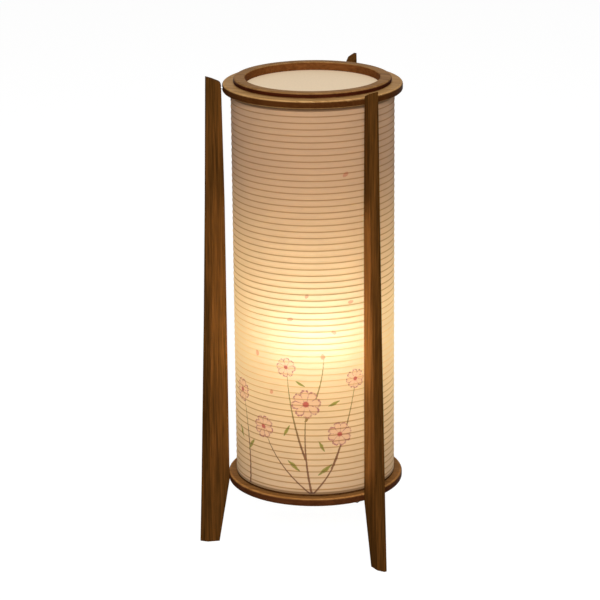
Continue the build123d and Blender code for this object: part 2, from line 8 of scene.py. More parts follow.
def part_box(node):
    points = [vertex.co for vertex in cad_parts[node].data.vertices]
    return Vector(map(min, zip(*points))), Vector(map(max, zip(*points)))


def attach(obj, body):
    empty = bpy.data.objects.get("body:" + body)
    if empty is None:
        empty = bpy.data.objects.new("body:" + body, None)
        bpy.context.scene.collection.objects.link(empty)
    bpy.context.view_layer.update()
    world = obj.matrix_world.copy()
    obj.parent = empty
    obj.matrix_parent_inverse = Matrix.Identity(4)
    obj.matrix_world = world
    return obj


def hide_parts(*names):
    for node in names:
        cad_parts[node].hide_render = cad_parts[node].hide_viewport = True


# Andon floor lamp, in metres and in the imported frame: the axis is Z, the floor is Z = 0, -Y is the front.
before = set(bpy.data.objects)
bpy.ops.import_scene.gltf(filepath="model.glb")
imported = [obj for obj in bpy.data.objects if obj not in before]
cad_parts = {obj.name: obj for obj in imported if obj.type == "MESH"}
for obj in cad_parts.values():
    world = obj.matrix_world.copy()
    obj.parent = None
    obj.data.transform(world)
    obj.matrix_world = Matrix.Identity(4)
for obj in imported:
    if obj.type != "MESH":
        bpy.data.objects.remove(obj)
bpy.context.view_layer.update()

# ---------------------------------------------------------------- camera
# A long lens a little above the lamp's top, turned to the side so that the left front leg is seen edge on.
CAMERA_AZIMUTH = 24.79         # degrees, from the front towards the right
CAMERA_ELEVATION = 17.17       # degrees
CAMERA_ROLL = -0.53            # degrees
CAMERA_DISTANCE = 3.257
CAMERA_LENS = 156.68           # mm
SENSOR_WIDTH = 36              # mm
NEAREST, FURTHEST = 0.1, 100   # what the camera sees lies between these
AIM_HEIGHT = 0.3159
AIM_SIDE = -0.0176             # the aim lies this far right of the lamp's axis, as the camera sees it

turn = math.radians(CAMERA_AZIMUTH)
rise = math.radians(CAMERA_ELEVATION)
side = Vector((math.cos(turn), math.sin(turn), 0))
back = Vector((math.sin(turn) * math.cos(rise), -math.cos(turn) * math.cos(rise), math.sin(rise)))
aim = side * AIM_SIDE + Vector((0, 0, AIM_HEIGHT))

camera_data = bpy.data.cameras.new("camera")
camera_data.lens = CAMERA_LENS
camera_data.sensor_width = SENSOR_WIDTH
camera_data.clip_start, camera_data.clip_end = NEAREST, FURTHEST
camera = bpy.data.objects.new("camera", camera_data)
camera.rotation_mode = "QUATERNION"
level_view = (-back).to_track_quat("-Z", "Y")
camera.matrix_world = (Matrix.Translation(aim + back * CAMERA_DISTANCE) @ level_view.to_matrix().to_4x4()
                       @ Matrix.Rotation(math.radians(CAMERA_ROLL), 4, "Z"))
bpy.context.scene.collection.objects.link(camera)
bpy.context.scene.camera = camera
bpy.context.scene.view_settings.view_transform = "Standard"

# ---------------------------------------------------------------- studio
# A plain pale floor under a white surround, with a soft lamp in front, a wider one overhead and a wide faint one
# behind. The floor and the surround are white to the eye and in reflections, whatever light falls on them.
SURROUND_LIGHT = 0.05          # the little light that the surround throws on the lamp
FLOOR_SIZE = 16.0
FLOOR_PLAIN = 0.86             # the share of the floor that is plain white; the rest shows the lamp's shadow
FLOOR_WHITE = 1.12             # the strength of that white, a little over 1 to make up for the rest
SHADE_MIDDLE = 0.3             # the height that the studio's lamps face


def srgb(code):
    """A hex colour such as "#f2e6d0" as linear red, green, blue and an alpha of 1."""
    values = [int(code[place:place + 2], 16) / 255 for place in (1, 3, 5)]
    return [v / 12.92 if v <= 0.04045 else ((v + 0.055) / 1.055) ** 2.4 for v in values] + [1.0]


def add(tree, kind, *settings):
    """Adds a node. A setting is a pair: a property or a socket, and its value, or the output that is linked to it. A
    node in place of an output stands for its first live output."""
    made = tree.nodes.new(kind)
    for name, value in settings:
        if isinstance(value, bpy.types.Node):
            value = next(output for output in value.outputs if output.enabled)
        if isinstance(value, bpy.types.NodeSocket):
            tree.links.new(value, made.inputs[name])
        elif isinstance(name, str) and hasattr(made, name):
            setattr(made, name, value)
        else:
            made.inputs[name].default_value = value
    return made


def seen(tree):
    """1 for the rays that reach the eye, straight, in a gloss or through glass, and 0 for light that goes elsewhere."""
    rays = add(tree, "ShaderNodeLightPath")
    shown = add(tree, "ShaderNodeMath", ("operation", "MAXIMUM"), (0, rays.outputs["Is Camera Ray"]),
                (1, rays.outputs["Is Glossy Ray"]))
    return add(tree, "ShaderNodeMath", ("operation", "MAXIMUM"), (0, shown), (1, rays.outputs["Is Transmission Ray"]))


def new_material(name):
    """An empty material and its node tree."""
    material = bpy.data.materials.new(name)
    material.use_nodes = True
    material.node_tree.nodes.clear()
    return material, material.node_tree


world = bpy.data.worlds.new("white_surround")
world.use_nodes = True
sky = world.node_tree
sky.nodes.clear()
fill_light = add(sky, "ShaderNodeBackground", ("Color", srgb("#fdfbf8")), ("Strength", SURROUND_LIGHT))
white = add(sky, "ShaderNodeBackground", ("Color", (1, 1, 1, 1)), ("Strength", 1.0))
surround = add(sky, "ShaderNodeMixShader", (0, seen(sky)), (1, fill_light), (2, white))
add(sky, "ShaderNodeOutputWorld", ("Surface", surround))
bpy.context.scene.world = world

half = FLOOR_SIZE / 2
floor_mesh = bpy.data.meshes.new("floor")
floor_mesh.from_pydata([(-half, -half, 0), (half, -half, 0), (half, half, 0), (-half, half, 0)], [], [(0, 1, 2, 3)])
floor = bpy.data.objects.new("floor", floor_mesh)
bpy.context.scene.collection.objects.link(floor)
floor_paint, tree = new_material("white_painted_floor")
floor_seen = seen(tree)
paint = add(tree, "ShaderNodeMix", ("data_type", "RGBA"), (0, floor_seen), (6, srgb("#8d8b88")), (7, srgb("#faf9f7")))
matt = add(tree, "ShaderNodeBsdfDiffuse", ("Color", paint))
plain = add(tree, "ShaderNodeEmission", ("Color", (1, 1, 1, 1)), ("Strength", FLOOR_WHITE))
plain_share = add(tree, "ShaderNodeMath", ("operation", "MULTIPLY"), (0, floor_seen), (1, FLOOR_PLAIN))
floor_surface = add(tree, "ShaderNodeMixShader", (0, plain_share), (1, matt), (2, plain))
add(tree, "ShaderNodeOutputMaterial", ("Surface", floor_surface))
floor_mesh.materials.append(floor_paint)


def soft_lamp(name, azimuth, elevation, distance, size, power):
    """A square area lamp that faces the middle of the shade. Its azimuth and elevation are in degrees."""
    lamp = bpy.data.lights.new(name, "AREA")
    lamp.size = size
    lamp.energy = power
    holder = bpy.data.objects.new(name, lamp)
    around, up = math.radians(azimuth), math.radians(elevation)
    away = Vector((math.sin(around) * math.cos(up), -math.cos(around) * math.cos(up), math.sin(up)))
    holder.matrix_world = (Matrix.Translation(Vector((0, 0, SHADE_MIDDLE)) + away * distance)
                           @ (-away).to_track_quat("-Z", "Y").to_matrix().to_4x4())
    bpy.context.scene.collection.objects.link(holder)


soft_lamp("front_lamp", azimuth=25, elevation=28, distance=3.0, size=0.8, power=92)
soft_lamp("overhead_lamp", azimuth=200, elevation=80, distance=2.4, size=1.6, power=14)
soft_lamp("back_lamp", azimuth=205, elevation=34, distance=3.0, size=1.6, power=6)

# ---------------------------------------------------------------- legs
# Three hexagonal sticks sawn from a dark hardwood, walnut or stained rubberwood, each from one plank and kinked
# below the lower ring. They are stained, sealed and sanded, so the grain shows as long fine streaks under a low gloss.
LEGS = ("leg_back", "leg_front_left", "leg_front_right")
LEG_STREAK = (1.6, 1.6, 60.0)  # mm along X, Y and Z: the grain runs up the leg
PORE_DARK = 0.70               # how dark the open pores are against the wood round them


def metres_to_mm(tree):
    """Object coordinates scaled to millimetres."""
    place = add(tree, "ShaderNodeTexCoord")
    return add(tree, "ShaderNodeVectorMath", ("operation", "SCALE"), (0, place.outputs["Object"]), ("Scale", 1000.0))


def stained_wood(name, dark, mid, light, streak, shift, gloss, edge="#ffffff", inner_shade="#ffffff", rim_highlight=0.0,
                 ior=1.02):
    """Stained hardwood. Streak gives the pattern's size in mm along X, Y and Z, shift moves it from piece to piece.
    Two tints paint shade: edge on the faces that look away from the lamp's axis, and a lighter one on those that
    look towards it. A share paints a highlight, lighter, on the rounding between the flats and the outer faces."""
    material, tree = new_material(name)
    mm = metres_to_mm(tree)
    moved = add(tree, "ShaderNodeVectorMath", ("operation", "ADD"), (0, mm), (1, shift))
    cell = add(tree, "ShaderNodeVectorMath", ("operation", "DIVIDE"), (0, moved), (1, streak))

    # fine streaks on broad bands give the colour, and a finer noise gives the pores
    grain = add(tree, "ShaderNodeTexNoise", ("Vector", cell), ("Scale", 1.0), ("Detail", 5.0), ("Roughness", 0.62))
    broad = add(tree, "ShaderNodeTexNoise", ("Vector", cell), ("Scale", 0.3), ("Detail", 2.0))
    pores = add(tree, "ShaderNodeTexNoise", ("Vector", cell), ("Scale", 3.2), ("Detail", 1.0))
    blend = add(tree, "ShaderNodeMath", ("operation", "MULTIPLY_ADD"), (0, broad), (1, 0.55), (2, grain))
    ramp = add(tree, "ShaderNodeValToRGB", ("Fac", blend))
    first, last = ramp.color_ramp.elements
    first.position, first.color = 0.56, srgb(dark)
    last.position, last.color = 1.0, srgb(light)
    ramp.color_ramp.elements.new(0.77).color = srgb(mid)
    dots = add(tree, "ShaderNodeMapRange", ("Value", pores), ("From Min", 0.60), ("From Max", 0.72), ("To Min", 1.0),
               ("To Max", PORE_DARK))

    # away is 1 where a face looks straight away from the axis, -1 where it looks towards it, and 0 on the flat; its
    # steps are those of the painted shade on the outer faces and on the inner ones, and of the painted highlight's rise
    # and fall
    facing = add(tree, "ShaderNodeNewGeometry")
    level = add(tree, "ShaderNodeVectorMath", ("operation", "MULTIPLY"), (0, mm), (1, (1.0, 1.0, 0.0)))
    outward = add(tree, "ShaderNodeVectorMath", ("operation", "NORMALIZE"), (0, level))
    away = add(tree, "ShaderNodeVectorMath", ("operation", "DOT_PRODUCT"), (0, facing.outputs["Normal"]), (1, outward))
    outer_shade_share, inner_shade_share, highlight_rise, highlight_fall = [
        add(tree, "ShaderNodeMapRange", ("interpolation_type", "SMOOTHSTEP"), ("Value", away), ("From Min", start),
            ("From Max", end), ("To Max", most))
        for start, end, most in ((0.72, 0.97, 1.0), (-0.72, -0.97, 1.0), (0.05, 0.35, rim_highlight), (0.88, 0.62, 1.0))]
    outer_shade_tint = add(tree, "ShaderNodeMix", ("data_type", "RGBA"), (0, outer_shade_share), (6, (1, 1, 1, 1)), (7, srgb(edge)))
    tint = add(tree, "ShaderNodeMix", ("data_type", "RGBA"), (0, inner_shade_share), (6, outer_shade_tint), (7, srgb(inner_shade)))
    highlighted = add(tree, "ShaderNodeMath", ("operation", "MULTIPLY_ADD"), (0, highlight_rise), (1, highlight_fall), (2, 1.0))

    shade = add(tree, "ShaderNodeMath", ("operation", "MULTIPLY"), (0, highlighted), (1, dots))
    pored = add(tree, "ShaderNodeVectorMath", ("operation", "SCALE"), (0, ramp), ("Scale", shade))
    colour = add(tree, "ShaderNodeVectorMath", ("operation", "MULTIPLY"), (0, pored), (1, tint))
    dull = add(tree, "ShaderNodeMapRange", ("Value", grain), ("To Min", gloss - 0.06), ("To Max", gloss + 0.10))
    bump = add(tree, "ShaderNodeBump", ("Strength", 0.25), ("Distance", 0.00012), ("Height", grain))
    finish = add(tree, "ShaderNodeBsdfPrincipled", ("Base Color", colour), ("Roughness", dull), ("IOR", ior),
                 ("Normal", bump))
    add(tree, "ShaderNodeOutputMaterial", ("Surface", finish))
    return material


def dress(node, material):
    """Gives a carried-over CAD node its finish."""
    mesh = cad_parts[node].data
    mesh.materials.clear()
    mesh.materials.append(material)


for number, leg in enumerate(LEGS):
    shift = (17.0 * number, 9.0 * number, 140.0 * number)
    dress(leg, stained_wood("stained_walnut_" + leg, "#37210a", "#503112", "#69401a", LEG_STREAK, shift, 0.5))

# The lit paper throws a warm light on the sides of the legs, most of it at the bulb's height. A short and a long
# upright strip of light on either side of each leg stand for the paper there; they light nothing but the legs.
STRIP_WIDTH = 0.004
STRIP_RADIUS = 0.103           # just outside the paper
STRIP_HEIGHT = 0.285           # the middle of each strip, at the bulb
STRIP_BESIDE = 12              # degrees from a leg to the strips beside it
SHORT_STRIP, SHORT_SHARE = 0.10, 0.35
LONG_STRIP, LONG_SHARE = 0.34, 0.65
legs_alone = bpy.data.collections.new("legs_alone")
for leg in LEGS:
    legs_alone.objects.link(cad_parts[leg])


def paper_strip(name, leg_azimuth, beside, height, power):
    """A strip of light just outside the paper, so many degrees beside a leg, facing outwards along the leg."""
    lamp = bpy.data.lights.new(name, "AREA")
    lamp.shape = "RECTANGLE"
    lamp.size, lamp.size_y = STRIP_WIDTH, height
    lamp.energy = power
    lamp.color = (1.0, 0.90, 0.85)
    around, leg_around = math.radians(leg_azimuth + beside), math.radians(leg_azimuth)
    place = Vector((STRIP_RADIUS * math.cos(around), STRIP_RADIUS * math.sin(around), STRIP_HEIGHT))
    outwards = Vector((math.cos(leg_around), math.sin(leg_around), 0))
    holder = bpy.data.objects.new(name, lamp)
    holder.visible_camera = False
    holder.light_linking.receiver_collection = legs_alone
    holder.matrix_world = Matrix.Translation(place) @ outwards.to_track_quat("-Z", "Y").to_matrix().to_4x4()
    bpy.context.scene.collection.objects.link(holder)


for leg_azimuth, power in ((330, 0.24), (210, 0.11), (90, 0.11)):
    for beside in (-STRIP_BESIDE, STRIP_BESIDE):
        for height, share in ((SHORT_STRIP, SHORT_SHARE), (LONG_STRIP, LONG_SHARE)):
            name = "paper_strip_%d_%+d_%d" % (leg_azimuth, beside, height * 1000)
            paper_strip(name, leg_azimuth, beside, height, power * share)

# ---------------------------------------------------------------- rings and crossbar
# Two boards of the same wood turned on a faceplate, with rounded edges, and a planed bar across the lower one. The
# grain runs straight across each. The rings' outer edges carry painted shade, darker than the flats, and the roundings
# between them a painted highlight.
RING_STREAK = (60.0, 1.8, 1.8)  # mm along X, Y and Z: the grain runs from side to side
# The two rings are one wood: the top ring's lighter colours are a painted sheen, and the bottom ring's darker colours
# are painted shade.
dress("top_ring", stained_wood("turned_walnut_top_ring", "#926b3e", "#a98050", "#be9763", RING_STREAK,
                               (0.0, 31.0, 0.0), 0.40, edge="#745841", rim_highlight=0.2, ior=1.04))
dress("bottom_ring", stained_wood("turned_walnut_bottom_ring", "#6e4822", "#83592e", "#95693b", RING_STREAK,
                                  (80.0, 11.0, 5.0), 0.40, edge="#9e8488", rim_highlight=0.6, ior=1.04))
dress("crossbar", stained_wood("planed_walnut_crossbar", "#5a3513", "#71471e", "#87592b", RING_STREAK,
                               (10.0, 3.0, 9.0), 0.5))

# ---------------------------------------------------------------- shade
# A tube of handmade mulberry paper, glued over thin planed bamboo hoops and two bent rims. Damped and dried, it has
# shrunk in between the hoops, which stand out as fine ridges. The bulb behind it shines through it, and a painted
# glow, brightest at the bulb's height, adds to that.
HOOP_PITCH = 0.00786
HOOP_HALF = 0.0007             # half the height of a hoop
PAPER_HOLLOW = 0.00045         # how far the paper sinks in half way between two hoops
PAPER_UNEVEN = 0.12            # how much that depth varies with each wave
END_HOLLOW = 0.3               # the share of that depth beyond the last hoops, where the rims are near
END_ROW = 0.0002               # no row of points lies nearer than this to the paper's ends
PAPER_COLUMNS = 240
ROWS_PER_BAY = 6
PAPER_WAVES = ((5, 1.7), (11, 2.9), (23, -4.1))  # how many waves go round, and how far each turns from bay to bay

paper_low, paper_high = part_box("shade_paper")
hoops_low, hoops_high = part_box("shade_hoops")
first_hoop = hoops_low.z + HOOP_HALF
last_hoop = hoops_high.z - HOOP_HALF
hoop_count = 1 + round((last_hoop - first_hoop) / HOOP_PITCH)


def paper_surface():
    """Points of the paper tube, from the height and the angle round it. The radius is the tube's own, less a hollow:
    the sine of the place between two hoops, as half a turn, times 1 plus slow waves that differ from bay to bay."""
    bays = np.arange(-1, hoop_count + 2)
    steps = np.arange(ROWS_PER_BAY) / ROWS_PER_BAY
    height = (first_hoop + HOOP_PITCH * (bays[:, None] + steps[None, :])).ravel()
    height = height[(height > paper_low.z + END_ROW) & (height < paper_high.z - END_ROW)]
    height = np.concatenate([[paper_low.z], height, [paper_high.z]])
    angle = np.arange(PAPER_COLUMNS) * 2 * np.pi / PAPER_COLUMNS
    phase = (height - first_hoop) / HOOP_PITCH
    hollow = np.abs(np.sin(np.pi * phase))
    hollow[(phase < 0) | (phase > hoop_count - 1)] *= END_HOLLOW
    bay = np.floor(phase)
    wave = sum(np.sin(count * angle[None, :] + turned * bay[:, None]) for count, turned in PAPER_WAVES)
    radius = paper_high.x - PAPER_HOLLOW * hollow[:, None] * (1 + PAPER_UNEVEN * wave)
    return np.stack([radius * np.cos(angle), radius * np.sin(angle), np.broadcast_to(height[:, None], radius.shape)],
                    axis=2)


def tube_mesh(name, points):
    """A mesh from a grid of points, rows by columns, whose last column joins the first. Rows that rise and columns
    that turn anticlockwise make faces that point outwards."""
    rows, columns = points.shape[:2]
    here = np.arange(rows * columns).reshape(rows, columns)
    after = np.roll(here, -1, axis=1)
    quads = np.stack([here[:-1], after[:-1], after[1:], here[1:]], axis=2).reshape(-1, 4)
    mesh = bpy.data.meshes.new(name)
    mesh.from_pydata(points.reshape(-1, 3).tolist(), [], quads.tolist())
    mesh.polygons.foreach_set("use_smooth", np.ones(len(mesh.polygons), bool))
    mesh.update()
    return mesh


BULB_HEIGHT = 272.0            # mm, the middle of the globe
# The colour of the paper's painted glow level with the bulb, the one far from it, and from how many mm above or
# below it on.
PAINTED_GLOW = ("#b8a070", "#302c28", 250.0)
# The same for the tint of the paper on a hoop, which is a painted shadow. Near the bulb the light creeps round the
# hoop.
HOOP_TINT = ("#f8f8e0", "#cab288", 90.0)
# In mm from the middle of a hoop: its line on the paper is full up to the first and gone at the second.
HOOP_LINE = (0.3, 1.1)
CLEAR_OF_HOOP = 3.0            # above the last hoop no more lines follow: the place is held this far from it
# In mm from the paper's ends: a rim's painted shadow begins at the first and is full at the second.
UPPER_RIM_LINE = (5.6, 4.6)
LOWER_RIM_LINE = (3.2, 2.4)


def flat_paper_place(tree, mm):
    """The place on the paper rolled out flat: millimetres round the tube from the front, and millimetres up."""
    parts = add(tree, "ShaderNodeSeparateXYZ", (0, mm))
    front = add(tree, "ShaderNodeMath", ("operation", "MULTIPLY"), (0, parts.outputs["Y"]), (1, -1.0))
    angle = add(tree, "ShaderNodeMath", ("operation", "ARCTAN2"), (0, parts.outputs["X"]), (1, front))
    along = add(tree, "ShaderNodeMath", ("operation", "MULTIPLY"), (0, angle), (1, paper_high.x * 1000))
    return along, parts.outputs["Z"]


def colour_round_bulb(tree, height, near, far, reach):
    """A colour that is near at the bulb's height and far from the reach on above and below it. With d the distance in
    height, its share of far is 3t^2 - 2t^3 for t = d / reach."""
    above = add(tree, "ShaderNodeMath", ("operation", "SUBTRACT"), (0, height), (1, BULB_HEIGHT))
    away = add(tree, "ShaderNodeMath", ("operation", "ABSOLUTE"), (0, above))
    share = add(tree, "ShaderNodeMapRange", ("interpolation_type", "SMOOTHSTEP"), ("Value", away), ("From Max", reach))
    return add(tree, "ShaderNodeMix", ("data_type", "RGBA"), (0, share), (6, srgb(near)), (7, srgb(far)))


def inside_shapes(tree, place, shapes):
    """The place in the unit circle of whichever shape holds it, and a far point outside them all. A shape is its
    centre along and up, its two half lengths and its turn, in mm and degrees."""
    chosen = add(tree, "ShaderNodeCombineXYZ", ("X", 9.0), ("Y", 9.0))
    for along, up, half_length, half_width, turned in shapes:
        local = add(tree, "ShaderNodeMapping", ("vector_type", "TEXTURE"), ("Vector", place),
                    ("Location", (along, up, 0.0)), ("Rotation", (0.0, 0.0, math.radians(turned))),
                    ("Scale", (half_length, half_width, 1.0)))
        far = add(tree, "ShaderNodeVectorMath", ("operation", "LENGTH"), (0, local))
        held = add(tree, "ShaderNodeMath", ("operation", "LESS_THAN"), (0, far), (1, 1.0))
        chosen = add(tree, "ShaderNodeMix", ("data_type", "VECTOR"), (0, held), (4, chosen), (5, local))
    return chosen


def brushed(tree, *edges):
    """How strongly the brush has marked the paper: the product of the mark's soft edges. An edge is a value, where
    the value is full and where it has faded out, with a smooth step between them."""
    mark = None
    for value, full, none in edges:
        edge = add(tree, "ShaderNodeMapRange", ("interpolation_type", "SMOOTHSTEP"), ("Value", value),
                   ("From Min", full), ("From Max", none), ("To Min", 1.0), ("To Max", 0.0))
        mark = edge if mark is None else add(tree, "ShaderNodeMath", ("operation", "MULTIPLY"), (0, mark), (1, edge))
    return mark


# The painting is a spray of cosmos in water colours on the lower front of the paper. Each stem runs in mm from one
# place to another and bows to the side between them; a flower is its centre, radius and turn, and a leaf or a petal
# is its centre, its two half lengths and its turn.
STEMS = ((38, 96, 33, 212, -5), (36, 96, -25, 176, -9), (40, 96, 75, 172, 9), (31, 140, 8, 258, -5),
         (63, 128, 95, 240, 4), (31, 190, 54, 272, 5), (-52, 96, -66, 214, 5))
FLOWERS = ((33, 214, 18.5, 8), (-25, 178, 14.5, 30), (75, 174, 15.5, 17), (8, 260, 12.5, 40), (96, 243, 12.5, 5),
           (-67, 216, 15.0, 22))
LEAVES = ((17, 133, 11.0, 2.9, 140), (56, 128, 12.0, 3.0, 38), (52, 159, 8.0, 2.4, 118), (8, 178, 9.0, 2.6, 62),
          (68, 214, 8.5, 2.4, 22), (-47, 150, 10.0, 2.9, 55), (26, 240, 7.0, 2.2, 150), (-70, 160, 9.0, 2.6, 120))
PETALS = ((54, 275, 4.0, 3.0, 75), (14, 322, 4.4, 2.6, 20), (68, 305, 3.8, 2.4, 150), (35, 352, 3.6, 2.2, 60),
          (-34, 272, 4.2, 2.6, 110), (90, 342, 3.8, 2.4, 10), (-12, 226, 3.4, 2.2, 70), (84, 502, 4.6, 3.0, 35))
PETALS_ROUND = 8               # petals on a flower
CLEFT_REACH = 0.66             # how far out the clefts between petals lie, as a share of the flower's radius
PETAL_REACH = 0.32             # how much further the petals go
PETAL_ROUNDNESS = 0.6
LEAF_WIDTH = 0.9
LEAF_ROUNDNESS = 1.6
STEM_HALF = 0.85               # half the width of a stroke, in mm
STEM_PRESS = -1.25             # in mm: about half of it thickens a stroke's foot, and half of it thins its tip
SHAKE = 2.6                    # how far the hand strays from the shapes, in mm


def painting(tree, place, along, height):
    """The tint that the painting gives the paper. A flower's outline is r = 0.66 + 0.32 |cos 4a| ^ 0.6, a leaf's is
    |y| = 0.9 (1 - |x| ^ 1.6), and a stem is a parabola in height."""
    wash = add(tree, "ShaderNodeTexNoise", ("Vector", place), ("Scale", 0.35), ("Detail", 2.0))
    shake = add(tree, "ShaderNodeTexNoise", ("Vector", place), ("Scale", 0.16), ("Detail", 2.0))
    drawn = add(tree, "ShaderNodeVectorMath", ("operation", "MULTIPLY_ADD"), (0, shake.outputs["Color"]),
                (1, (SHAKE, SHAKE, 0.0)), (2, place))

    # stems: the distance to the parabola is what the brush marks, between the stem's two ends
    strokes = None
    for start_along, start_up, end_along, end_up, bow in STEMS:
        part = add(tree, "ShaderNodeMapRange", ("clamp", False), ("Value", height), ("From Min", start_up),
                   ("From Max", end_up))
        slope = add(tree, "ShaderNodeMath", ("operation", "MULTIPLY_ADD"), (0, part), (1, -4.0 * bow),
                    (2, end_along - start_along + 4.0 * bow))
        middle = add(tree, "ShaderNodeMath", ("operation", "MULTIPLY_ADD"), (0, part), (1, slope), (2, start_along))
        beside = add(tree, "ShaderNodeMath", ("operation", "SUBTRACT"), (0, along), (1, middle))
        off = add(tree, "ShaderNodeMath", ("operation", "ABSOLUTE"), (0, beside))
        lifted = add(tree, "ShaderNodeMath", ("operation", "SUBTRACT"), (0, wash), (1, part))
        press = add(tree, "ShaderNodeMath", ("operation", "MULTIPLY_ADD"), (0, lifted), (1, STEM_PRESS), (2, off))
        between_ends = add(tree, "ShaderNodeMath", ("operation", "COMPARE"), (0, part), (1, 0.5), (2, 0.5))
        line = brushed(tree, (press, STEM_HALF - 0.3, STEM_HALF + 0.35))
        stroke = add(tree, "ShaderNodeMath", ("operation", "MULTIPLY"), (0, line), (1, between_ends))
        strokes = stroke if strokes is None else add(tree, "ShaderNodeMath", ("operation", "MAXIMUM"), (0, strokes),
                                                     (1, stroke))
    young = add(tree, "ShaderNodeMapRange", ("Value", height), ("From Min", 150.0), ("From Max", 215.0))
    stem_tint = add(tree, "ShaderNodeMix", ("data_type", "RGBA"), (0, young), (6, srgb("#8c6844")),
                    (7, srgb("#a69f5c")))

    # leaves and fallen petals
    leaf = add(tree, "ShaderNodeSeparateXYZ", (0, inside_shapes(tree, drawn, LEAVES)))
    from_middle = add(tree, "ShaderNodeMath", ("operation", "ABSOLUTE"), (0, leaf.outputs["X"]))
    length = add(tree, "ShaderNodeMath", ("operation", "POWER"), (0, from_middle), (1, LEAF_ROUNDNESS))
    width = add(tree, "ShaderNodeMath", ("operation", "ABSOLUTE"), (0, leaf.outputs["Y"]))
    reach = add(tree, "ShaderNodeMath", ("operation", "MULTIPLY_ADD"), (0, length), (1, LEAF_WIDTH), (2, width))
    fallen = add(tree, "ShaderNodeVectorMath", ("operation", "LENGTH"), (0, inside_shapes(tree, drawn, PETALS)))

    # flowers: petals within their outline, which is drawn along the rim and into the clefts, in places fainter
    flower = inside_shapes(tree, drawn, [(middle_along, middle_up, radius, radius, turned)
                                         for middle_along, middle_up, radius, turned in FLOWERS])
    spread = add(tree, "ShaderNodeVectorMath", ("operation", "LENGTH"), (0, flower))
    ways = add(tree, "ShaderNodeSeparateXYZ", (0, flower))
    angle = add(tree, "ShaderNodeMath", ("operation", "ARCTAN2"), (0, ways.outputs["Y"]), (1, ways.outputs["X"]))
    turns = add(tree, "ShaderNodeMath", ("operation", "MULTIPLY"), (0, angle), (1, PETALS_ROUND / 2))
    swing = add(tree, "ShaderNodeMath", ("operation", "COSINE"), (0, turns))
    lobe = add(tree, "ShaderNodeMath", ("operation", "ABSOLUTE"), (0, swing))
    round_lobe = add(tree, "ShaderNodeMath", ("operation", "POWER"), (0, lobe), (1, PETAL_ROUNDNESS))
    edge = add(tree, "ShaderNodeMath", ("operation", "MULTIPLY_ADD"), (0, round_lobe), (1, PETAL_REACH),
               (2, CLEFT_REACH))
    past_edge = add(tree, "ShaderNodeMath", ("operation", "SUBTRACT"), (0, spread), (1, edge))
    off_edge = add(tree, "ShaderNodeMath", ("operation", "ABSOLUTE"), (0, past_edge))
    petal_edge = (past_edge, -0.02, 0.02)
    cleft = brushed(tree, (lobe, 0.08, 0.34), petal_edge)
    rim = brushed(tree, (off_edge, 0.04, 0.13))
    outlined = add(tree, "ShaderNodeMath", ("operation", "MAXIMUM"), (0, cleft), (1, rim))
    outline = add(tree, "ShaderNodeMath", ("operation", "MULTIPLY"), (0, outlined),
                  (1, brushed(tree, (wash, 0.62, 0.30))))

    # the colours in the order in which they are laid on: stems, leaves and their spines, fallen petals, the flowers'
    # petals, their outlines and their hearts
    tint = add(tree, "ShaderNodeCombineXYZ", ("X", 1.0), ("Y", 1.0), ("Z", 1.0))
    for colour, mark in ((stem_tint, strokes),
                         (srgb("#aab85a"), brushed(tree, (reach, 0.78, 0.94))),
                         (srgb("#87983c"), brushed(tree, (width, 0.05, 0.3), (reach, 0.7, 0.9))),
                         (srgb("#f0c4be"), brushed(tree, (fallen, 0.8, 1.0))),
                         (srgb("#fdeff3"), brushed(tree, petal_edge)),
                         (srgb("#bd80a4"), outline),
                         (srgb("#cc6c78"), brushed(tree, (spread, 0.15, 0.26)))):
        tint = add(tree, "ShaderNodeMix", ("data_type", "RGBA"), (0, mark), (6, tint), (7, colour))
    return tint


